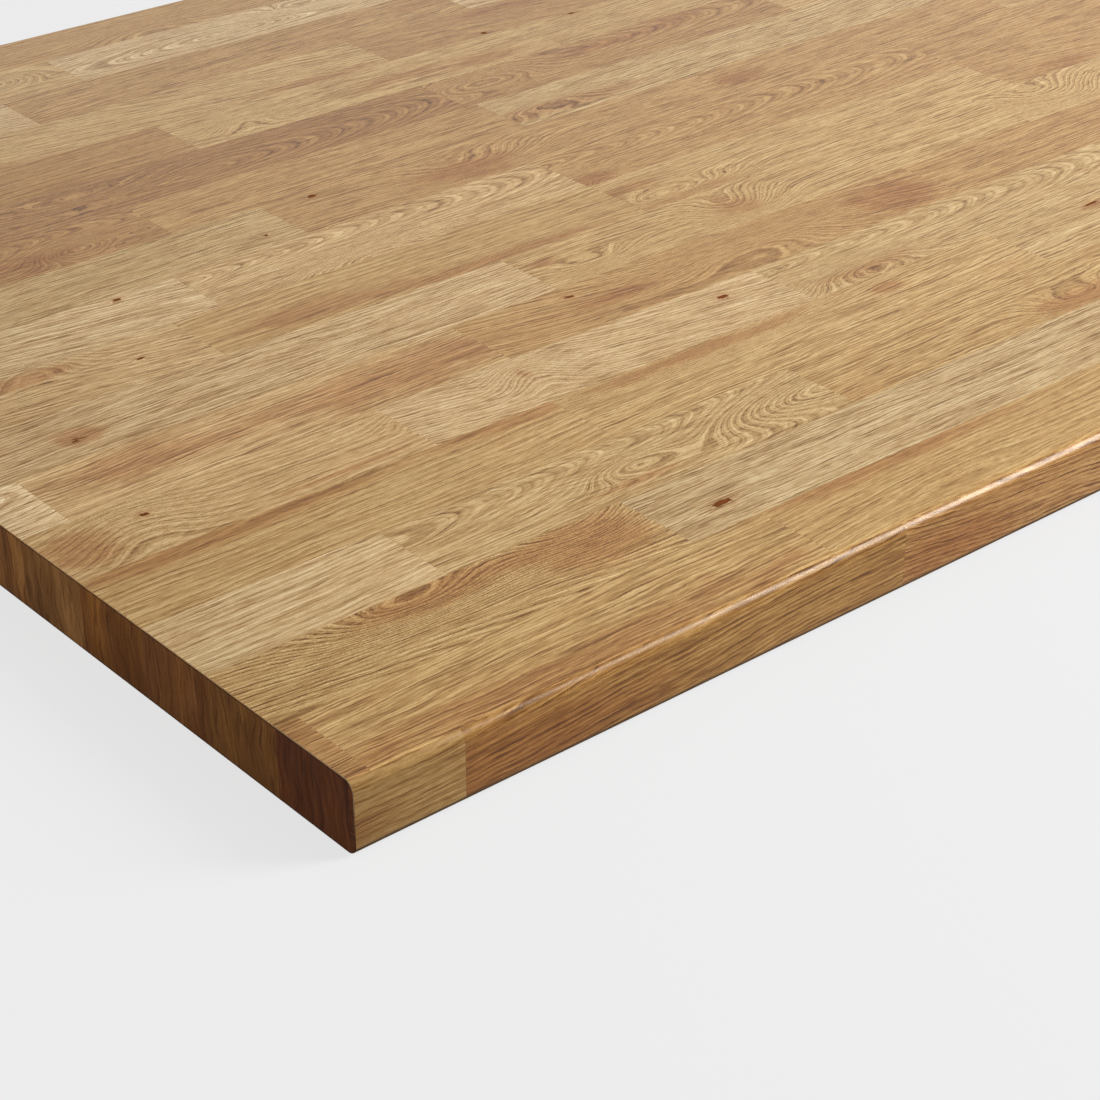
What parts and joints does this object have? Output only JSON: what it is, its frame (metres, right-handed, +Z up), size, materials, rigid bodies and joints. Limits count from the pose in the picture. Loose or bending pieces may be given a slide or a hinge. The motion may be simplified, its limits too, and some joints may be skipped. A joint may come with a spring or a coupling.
{
  "type": "butcher block countertop",
  "caption": "Flat oak worktop slab glued up from rows of staves, with a thin edging and rounded profile along the front edge and eased arrises elsewhere.",
  "frame": {"origin": "middle of the underside, where the slab rests", "axes": "+X along the length, +Y from the rounded front edge to the back edge, +Z up through the thickness"},
  "size_m": [2, 0.9, 0.038],
  "materials": {
    "stave_oak": "oiled oak, satin, with a figure that differs from stave to stave",
    "edging_oak": "oiled oak, satin, a little darker than the top"
  },
  "bodies": {
    "root": {"front_edging": "edging_oak", "stave_row_01": "stave_oak", "stave_row_02": "stave_oak", "stave_row_03": "stave_oak", "stave_row_04": "stave_oak", "stave_row_05": "stave_oak", "stave_row_06": "stave_oak", "stave_row_07": "stave_oak", "stave_row_08": "stave_oak", "stave_row_09": "stave_oak", "stave_row_10": "stave_oak", "stave_row_11": "stave_oak", "stave_row_12": "stave_oak", "stave_row_13": "stave_oak", "stave_row_14": "stave_oak", "stave_row_15": "stave_oak", "stave_row_16": "stave_oak", "stave_row_17": "stave_oak"}
  },
  "joints": []
}
